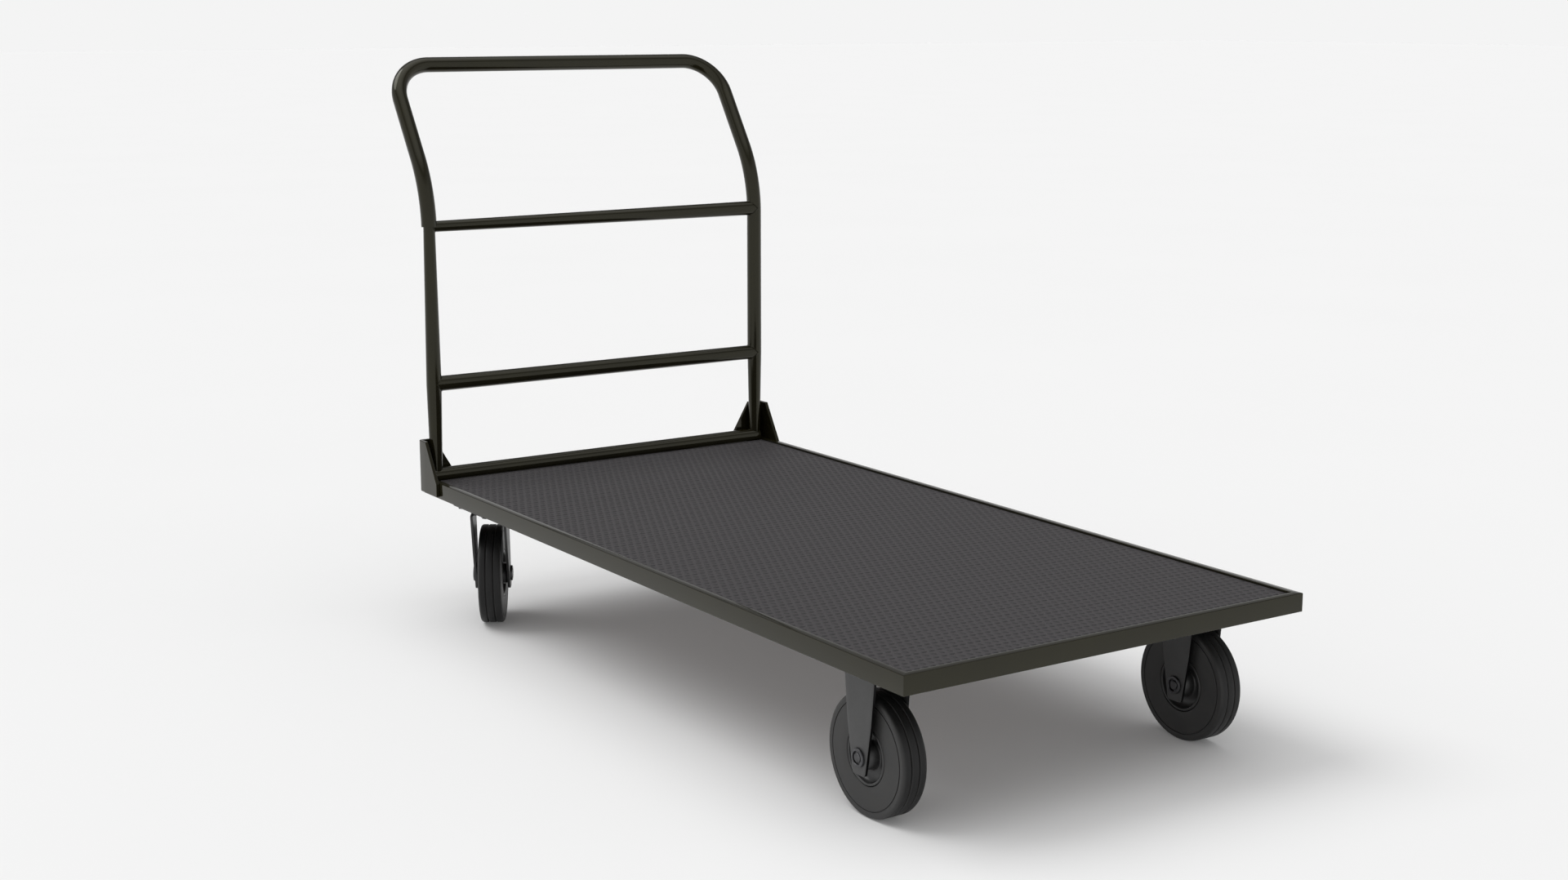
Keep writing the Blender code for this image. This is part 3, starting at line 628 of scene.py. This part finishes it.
def hollow_tube(name, path, radii, across, paint, replaced):
    """Open tube: circles square to a path for the outer skin, circles less by the wall for the inner
    one, and a flat ring at each end."""
    outer = tube_sections(path, radii, across)
    inner = tube_sections(path, np.array(radii) - TUBE_WALL, across)
    points = np.concatenate([outer, inner[::-1]])
    faces = grid_faces(*points.shape[:2], wrap_rows=True)
    add_piece(name, points, outward(points, faces), paint, "chassis", replaced)


def saddle_tube(name, ends, radii, seats, paint, replaced):
    """Level straight tube whose ends follow the round sides of the uprights: each point of an end
    ring is drawn back along the tube by the seat's half width sqrt(R2 - t2), t being its offset across."""
    start, end = np.array(ends[0], float), np.array(ends[1], float)
    run = (end - start) / np.linalg.norm(end - start)
    share = np.linspace(0, 1, 9)
    path = start + (end - start) * share[:, None]
    sections = tube_sections(path, radii[0] + (radii[1] - radii[0]) * share, UP)
    across = np.cross(run, UP)
    for index, centre, direction, seat in ((0, start, run, seats[0]), (-1, end, -run, seats[1])):
        t = (sections[index] - centre) @ across
        back = np.sqrt(np.maximum(seat**2 - t**2, 0))
        sections[index] = sections[index] + back[:, None] * direction
    add_piece(name, sections, swept(sections), paint, "chassis", replaced)


def weld(name, centre, run, radius, seat, paint):
    """Fillet bead where a level tube meets an upright: a small circle carried along the joint curve,
    which lies at radius (cos a, sin a) across the tube and sqrt(R2 - t2) out of the upright's axis.
    Eighteen ripples round the joint swell it by up to an eighth."""
    run = np.array(run, float)
    side = np.cross(run, UP)
    rise = np.cross(side, run)
    a = np.arange(72) / 72 * TURN
    t = radius * np.cos(a)
    out = np.sqrt(np.maximum(seat**2 - t**2, 0))
    spoke = np.cos(a)[:, None] * side + np.sin(a)[:, None] * rise
    line = np.array(centre, float) + radius * spoke + out[:, None] * run
    b = np.arange(10) / 10 * TURN
    ring = np.cos(b)[None, :, None] * spoke[:, None] + np.sin(b)[None, :, None] * run
    bead = WELD_BEAD * (1 + 0.12 * np.sin(a * 18))
    points = line[:, None] + bead[:, None, None] * ring
    add_piece(name, points, outward(points, grid_faces(72, 10, wrap_rows=True)), paint, "chassis")


def push_handle(paint):
    """Bow, slim left upright, two welded cross rails and the foot rail. Both uprights end on the foot
    rail, sqrt(R2 - r2) over its axis, where their edge meets its round top."""
    seat = TUBE_R + GAP
    foot = math.sqrt(seat**2 - SLIM_FOOT**2)
    line = bow_line()
    right_leg = (line[:, 0] < 0) & (line[:, 2] < MIDDLE_Z)
    radii = np.where(right_leg, upright_radius(line[:, 2]), TUBE_R)
    line[0, 2] = FOOT_Z + foot
    radii[0] = upright_radius(line[0, 2])
    hollow_tube("handle_bow_drawn", line, radii, (0.3, 1, 0.2), paint, "handle_bow")

    z = np.concatenate([np.linspace(FOOT_Z + foot, MIDDLE_Z, 6), np.linspace(MIDDLE_Z, UPPER_Z, 8)[1:]])
    z = np.append(z, box("handle_post_left")[1][2])
    post = np.stack([np.full(len(z), POST_X), np.full(len(z), POST_Y), z], -1)
    radii = upright_radius(z, SLIM_POST)
    hollow_tube("handle_post_drawn", post, radii, (0, 1, 0), paint, "handle_post_left")

    for name, z, left_radius, left_seat in (
        ("rail_middle", MIDDLE_Z, TUBE_R, TUBE_R),
        ("rail_upper", UPPER_Z, SLIM_RAIL, SLIM_POST),
    ):
        ends = [(-POST_X, POST_Y, z), (POST_X, POST_Y, z)]
        seats = (TUBE_R + SEAT_GAP, left_seat + SEAT_GAP)
        saddle_tube(name + "_drawn", ends, (TUBE_R, left_radius), seats, paint, name)
        weld(f"weld_{name}_right", ends[0], (1, 0, 0), TUBE_R, TUBE_R, paint)
        weld(f"weld_{name}_left", ends[1], (-1, 0, 0), left_radius, left_seat, paint)

    low, high = box("rail_foot")
    line = [(x, POST_Y, FOOT_Z) for x in np.linspace(low[0], high[0], 9)]
    hollow_tube("rail_foot_drawn", line, [TUBE_R] * 9, UP, paint, "rail_foot")


# Casters ------------------------------------------------------------------------------------------

WHEEL_R = box("tyre_front_left")[1][2] / 2
HALF_TYRE = half_size("tyre_front_left")[0]
RIM_R = half_size("rim_front_left")[2]
HALF_HUB = half_size("rim_front_left")[0]

BEAD_ROUND = 2.4 * MM  # radius where the tyre's bore meets its sidewall
SHOULDER = 5.2 * MM
SIDEWALL_FLAT = 30 * MM  # depth under the tread from which the sidewall falls away
# Moulded ring: depth under the tread and under the sidewall.
RING_LINE = ((12 * MM, 0.4 * MM), (11.6 * MM, 1.4 * MM), (10.6 * MM, 1.5 * MM), (10.1 * MM, 0.5 * MM))
GROOVE_PLACE = 6.9 * MM  # from the middle of the tread
GROOVE_HALF = 1.5 * MM
GROOVE_DEPTH = 2.8 * MM
GROOVE_EDGE = 1.0 * MM

BORE_R = 9.3 * MM
HUB_R = 19 * MM
HUB_CHAMFER = 1.5 * MM
HUB_FOOT = 3 * MM  # radius of the fillet between hub and web
BOWL_R = 38.5 * MM
WEB_HALF = 9 * MM
WEB_FLAT = 5 * MM  # between the hub and the bowl's curve
LIP_FOOT = 2.4 * MM  # depths under the sidewall of the bowl's edge and of the lip's centre
LIP_CENTRE = 2.25 * MM

CAP_GAP = 0.2 * MM  # between a cap and the fork
CAP_HEIGHT = 3.5 * MM
CAP_R = 14 * MM
CAP_EDGE = 1.4 * MM
CAP_RECESS_R = 9.6 * MM
CAP_RECESS = 2.8 * MM
CAP_CORE_R = 7.0 * MM
CAP_CORE = 0.6 * MM  # depth of the bolt's end under the face
CAP_BREAK = 0.5 * MM  # chamfers of the inner edges

FORK_HALF = half_size("fork_front_left")[0]
FORK_STEEL = 5 * MM
FORK_BEND = 3.6 * MM
FORK_FOOT = WHEEL_R - 25.5 * MM
FORK_WAIST = WHEEL_R + 51 * MM
FOOT_WIDTH, WAIST_WIDTH, TOP_WIDTH = 29 * MM, 56 * MM, 73.2 * MM
CROWN_LENGTH = 56 * MM
# Rounded corners of the foot: heights over it, and what each takes off the width.
NIP_HEIGHTS = np.array([0.0, 0.4, 1.5, 4.0]) * MM
NIP_WIDTHS = np.array([7, 4.4, 1.8, 0.0]) * MM
SWIVEL_EDGE_SHADE = 0.25  # share of the painted shade on the swivel forks' edges; the fixed forks' edges get all of it


def groove(sign):
    """One rounded edge of the tread's groove, from the tread down (sign 1) or back up (sign -1)."""
    centre = (WHEEL_R - GROOVE_EDGE, GROOVE_PLACE + sign * (GROOVE_HALF + 0.6 * GROOVE_EDGE))
    first, last = (0, -70) if sign > 0 else (70, 0)
    return arc(centre, GROOVE_EDGE, first, last, 4)


def tyre_section():
    """One side of the tyre's section as (radius, offset), from the bore over the sidewall and its
    moulded ring to the shoulder, and down into the groove beside the middle rib."""
    wall = HALF_TYRE
    bead = RIM_R + GAP
    side = [(bead, wall - 3.2 * MM)]
    side += arc((bead + BEAD_ROUND, wall - BEAD_ROUND), BEAD_ROUND, 180, 90, 5)
    side += [(WHEEL_R - SIDEWALL_FLAT, wall)]
    side += [(WHEEL_R - down, wall - sunk) for down, sunk in RING_LINE]
    side += arc((WHEEL_R - SHOULDER, wall - SHOULDER), SHOULDER, 90, 0, 9)
    side += [(WHEEL_R, GROOVE_PLACE + GROOVE_HALF + 1.4 * GROOVE_EDGE)]
    side += groove(1)
    side += [(WHEEL_R - GROOVE_DEPTH, GROOVE_PLACE + sign * 0.35 * GROOVE_HALF) for sign in (1, -1)]
    side += groove(-1)
    return side


def rim_section():
    """One side of the wheel centre as (radius, offset): bearing bore, chamfered hub, fillet, web, a
    quarter of an ellipse for the bowl, and a rolled lip."""
    side = [(BORE_R, HALF_HUB), (HUB_R - HUB_CHAMFER, HALF_HUB), (HUB_R, HALF_HUB - HUB_CHAMFER)]
    side += arc((HUB_R + 1.5 * HUB_FOOT, WEB_HALF + HUB_FOOT), HUB_FOOT, 180, 270, 5)
    rise = HALF_TYRE - LIP_FOOT - WEB_HALF
    reach = BOWL_R - HUB_R - WEB_FLAT
    a = np.linspace(0.15, 1, 9) * QUARTER
    side += list(zip(BOWL_R - reach + reach * np.sin(a), WEB_HALF + rise * (1 - np.cos(a))))
    side += arc(((BOWL_R + RIM_R) / 2, HALF_TYRE - LIP_CENTRE), (RIM_R - BOWL_R) / 2, 160, 0, 7)
    return side


def wheel(name, looks):
    """Tyre and wheel centre: each section and its mirror image, turned about the axle."""
    centre, axle, _ = wheel_frame(name)
    body = "wheel_" + name
    points, faces = turned(mirrored(tyre_section()), centre, axle, 144)
    piece = add_piece("tyre_moulded_" + name, points, faces, looks["tyre"], body, "tyre_" + name, 40)
    # Marks the faces turned away from the axle, the tread, for the rubber's painted shade.
    mark_faces(piece, "tread_shade", lambda normals: 1 - np.abs(normals @ axle))
    points, faces = turned(mirrored(rim_section()), centre, axle)
    add_piece("rim_moulded_" + name, points, faces, looks["rim"], body, "rim_" + name, 40)


def axle_caps(name, looks):
    """Round head and nut: a disc with a rounded edge, a dished recess and the bolt's flat end in it,
    as a section (radius, offset) turned about the axle."""
    centre, axle, _ = wheel_frame(name)
    seat = FORK_HALF + CAP_GAP
    face = seat + CAP_HEIGHT
    floor = face - CAP_RECESS
    end = face - CAP_CORE
    profile = [(CAP_R, seat)]
    profile += arc((CAP_R - CAP_EDGE, face - CAP_EDGE), CAP_EDGE, 0, 90, 5)
    profile += [(CAP_RECESS_R + CAP_BREAK, face), (CAP_RECESS_R, face - CAP_BREAK)]
    profile += [(CAP_RECESS_R - 0.2 * MM, floor), (CAP_CORE_R, floor)]
    profile += [(CAP_CORE_R, end - CAP_BREAK), (CAP_CORE_R - CAP_BREAK, end)]
    for part, sign in (("axle_bolt", 1), ("axle_nut", -1)):
        cap = [(r, sign * t) for r, t in profile]
        points, faces = turned(cap, centre, axle, 48, closed=False)
        replaced = f"{part}_{name}"
        add_piece(f"{part}_cap_{name}", points, faces, looks["zinc"], caster_body(name), replaced)


def fork_line(top):
    """Middle line of the fork's strip as (offset along the axle, height), with the normals: up one
    leg, round a quarter circle, and the same mirrored down the other leg."""
    mid = FORK_HALF - FORK_STEEL / 2
    crown = top - FORK_STEEL / 2
    upward = [FORK_FOOT + NIP_HEIGHTS, np.linspace(FORK_FOOT + 8 * MM, FORK_WAIST, 8)]
    upward = np.concatenate(upward + [np.linspace(FORK_WAIST, crown - FORK_BEND, 8)[1:]])
    leg = np.stack([np.full(len(upward), mid), upward], -1)
    turn = np.linspace(0, QUARTER, 8)[1:]
    corner_normal = np.stack([np.cos(turn), np.sin(turn)], -1)
    corner = (mid - FORK_BEND, crown - FORK_BEND) + FORK_BEND * corner_normal
    half = np.concatenate([leg, corner])
    half_normal = np.concatenate([np.tile((1.0, 0.0), (len(leg), 1)), corner_normal])
    mirror = (-1, 1)
    line = np.concatenate([half, (half * mirror)[::-1]])
    return line, np.concatenate([half_normal, (half_normal * mirror)[::-1]])


def fork(name, looks):
    """Strip bent to an upside-down U: a rounded rectangle carried along the fork's line, as wide as
    the leg at each height and moved with the leg's lean towards the kingpin."""
    centre, axle, roll = wheel_frame(name)
    top = box("fork_" + name)[1][2]
    body = caster_body(name)
    trail = float((np.array(joints[body]["pos_m"], float) - centre) @ roll) if body in joints else 0.0
    roll = roll * (1 if trail >= 0 else -1)
    line, normal = fork_line(top)
    z = line[:, 1]
    width = np.interp(z, [FORK_FOOT, FORK_WAIST, top], [FOOT_WIDTH, WAIST_WIDTH, TOP_WIDTH])
    width = width - np.interp(z - FORK_FOOT, NIP_HEIGHTS, NIP_WIDTHS)
    over = np.clip((FORK_HALF - FORK_STEEL / 2 - np.abs(line[:, 0])) / FORK_BEND, 0, 1)
    width = width + (CROWN_LENGTH - width) * over
    lean = abs(trail) * np.clip((z - FORK_FOOT) / (top - FORK_FOOT), 0, 1)
    section = rounded([(-0.5, -0.5), (0.5, -0.5), (0.5, 0.5), (-0.5, 0.5)], 0.12, 3)
    out = section[:, 0][None, :] * FORK_STEEL
    along = lean[:, None] + section[:, 1][None, :] * width[:, None]
    points = centre * (1, 1, 0) + (line[:, :1] + normal[:, :1] * out)[..., None] * axle
    points = points + along[..., None] * roll
    points = points + (z[:, None] + normal[:, 1:] * out)[..., None] * np.array(UP)
    piece = add_piece("fork_pressed_" + name, points, swept(points), looks["fork"], body, "fork_" + name, 50)
    # The strip's edges look along the rolling direction. They get painted shade: in full on the fixed forks, in
    # part on the swivel ones.
    edge_shade_share = SWIVEL_EDGE_SHADE if body in joints else 1.0
    mark_faces(piece, "edge_shade", lambda normals: edge_shade_share * (np.abs(normals @ roll) > 0.8))


# Studio -------------------------------------------------------------------------------------------

FLOOR_REACH = 60.0  # far enough for the floor's end to look like the horizon
KEY_ENERGY = 1.14
KEY_ANGLE = 40
KEY_ELEVATION = 52
KEY_AZIMUTH = 313

# Brightness of the sky by the height of the direction: pale low down, dim at two thirds of the height,
# which keeps the enamel dark, and brightest overhead.
SKY = ((0.03, 0.905), (0.2, 0.88), (0.5, 0.82), (0.66, 0.28), (0.82, 1.02), (1.0, 1.62))
# The sky is darker on one side, at middle heights only and by at most this share.
DARK_SIDE = (-0.62, -0.78, 0.0)
DARK_BAND = ((0.05, 0.0), (0.3, 1.0), (0.7, 1.0), (0.9, 0.0))
DARK_SHARE = 0.66


def paper_floor():
    """Pale seamless floor at height 0, out to the horizon."""
    mesh = bpy.data.meshes.new("floor")
    far = FLOOR_REACH
    mesh.from_pydata([(-far, -far, 0), (far, -far, 0), (far, far, 0), (-far, far, 0)], [], [(0, 1, 2, 3)])
    floor = bpy.data.objects.new("floor", mesh)
    bpy.context.scene.collection.objects.link(floor)
    mesh.materials.append(seamless_paper())


def sky():
    """Sky whose brightness follows the direction's height and falls off towards the dark side."""
    world = bpy.data.worlds.new("studio")
    world.use_nodes = True
    tree = world.node_tree
    direction = node(tree, "ShaderNodeTexCoord").outputs["Generated"]
    height = node(tree, "ShaderNodeSeparateXYZ", {"Vector": direction}).outputs["Z"]
    dome = node(tree, "ShaderNodeValToRGB", {"Fac": height}, greys(*SKY)).outputs["Color"]
    band = node(tree, "ShaderNodeValToRGB", {"Fac": height}, greys(*DARK_BAND)).outputs["Color"]
    facing = {0: direction, 1: DARK_SIDE}
    facing = node(tree, "ShaderNodeVectorMath", facing, operation="DOT_PRODUCT").outputs["Value"]
    away = {"Value": facing, "From Min": -0.3, "From Max": 0.6}
    away = node(tree, "ShaderNodeMapRange", away).outputs["Result"]
    shade = node(tree, "ShaderNodeMath", {0: band, 1: away}, operation="MULTIPLY").outputs[0]
    keep = {0: shade, 1: -DARK_SHARE, 2: 1.0}
    keep = node(tree, "ShaderNodeMath", keep, operation="MULTIPLY_ADD").outputs[0]
    wire(tree, tree.nodes["Background"], {"Color": dome, "Strength": keep})
    bpy.context.scene.world = world


def key_light():
    """High soft key from the left rear: its wide angle blurs the shadow's edge."""
    sun = bpy.data.lights.new("key", "SUN")
    sun.energy = KEY_ENERGY
    sun.angle = math.radians(KEY_ANGLE)
    lamp = bpy.data.objects.new("key", sun)
    bpy.context.scene.collection.objects.link(lamp)
    lamp.rotation_euler = (0, math.radians(90 - KEY_ELEVATION), math.radians(KEY_AZIMUTH))


def camera():
    """50 mm lens, a little above the deck's level, turned to the deck's front left corner."""
    lens = bpy.data.cameras.new("camera")
    lens.lens = 50
    lens.sensor_width = 36
    lens.clip_end = 500
    viewer = bpy.data.objects.new("camera", lens)
    bpy.context.scene.collection.objects.link(viewer)
    viewer.location = (2.0147, 2.9915, 1.1042)
    viewer.rotation_euler = (math.radians(90 - 11.138), 0, math.radians(146.213))
    bpy.context.scene.camera = viewer
    bpy.context.scene.view_settings.view_transform = "Standard"


def main():
    """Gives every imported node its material, puts the finer pieces in place and sets up the studio."""
    looks = {
        "paint": stove_enamel(),
        "mat": mat_rubber(),
        "tyre": tyre_rubber(),
        "rim": rim_plastic(),
        "fork": fork_coat(),
        "zinc": dark_zinc(),
        "board": birch_board(),
    }
    by_slot = {SLOTS[surface.name]: surface for surface in looks.values()}
    for row in frame["record"]["subparts"]:
        mesh = frame["nodes"][row["node"]].data
        mesh.materials.clear()
        mesh.materials.append(by_slot[row["material_slot"]])
    lugged_mat(looks["mat"])
    for name, side in SIDES.items():
        side_rail("side_rail_" + name, side, looks["paint"])
        bracket("corner_bracket_" + name, side, looks["paint"])
    front_rail(looks["paint"])
    push_handle(looks["paint"])
    for name in WHEELS:
        wheel(name, looks)
        axle_caps(name, looks)
        fork(name, looks)
    paper_floor()
    sky()
    key_light()
    camera()


main()
